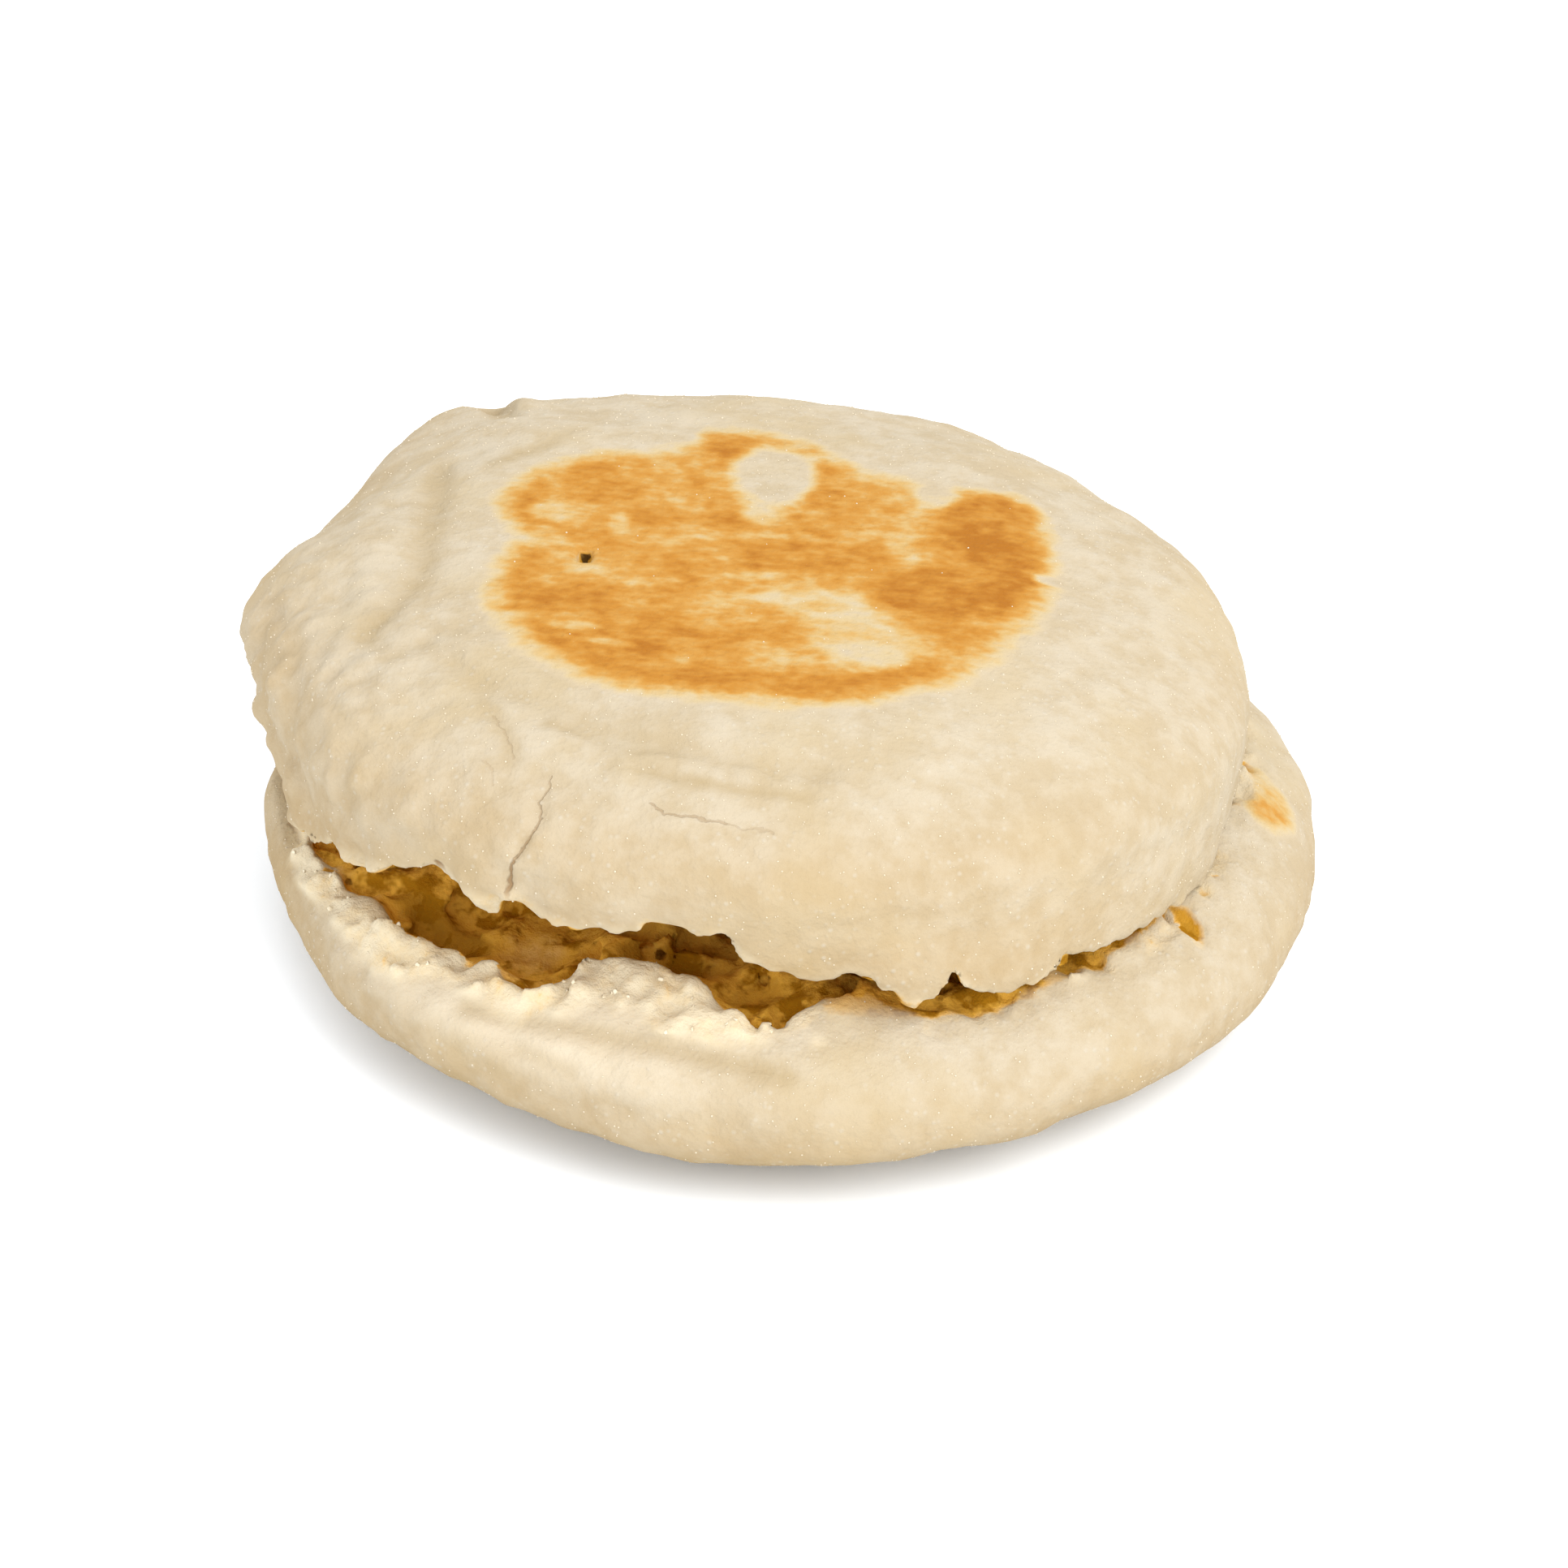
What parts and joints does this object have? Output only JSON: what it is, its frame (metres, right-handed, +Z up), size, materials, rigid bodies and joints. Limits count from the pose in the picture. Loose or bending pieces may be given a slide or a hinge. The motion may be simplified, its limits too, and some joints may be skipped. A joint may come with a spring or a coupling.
{
  "type": "split english muffin",
  "caption": "Round griddled bread roll torn into a crown and a heel, the crown lying back on the heel, tipped so the torn seam gapes at the front left.",
  "frame": {"origin": "centre of the whole muffin's footprint, on the flat griddled base it stands on", "axes": "+Z up; -Y is the front, where the torn seam is open; +X is the right, where the heel shows as a shelf"},
  "size_m": [0.0969, 0.0938, 0.0366],
  "materials": {
    "top_bread": "matte floured crust, browned on the flat, pale torn crumb",
    "bottom_bread": "matte floured crust, browned under the base, pale torn crumb"
  },
  "bodies": {
    "root": {"top_half": "top_bread", "bottom_half": "bottom_bread"}
  },
  "joints": []
}
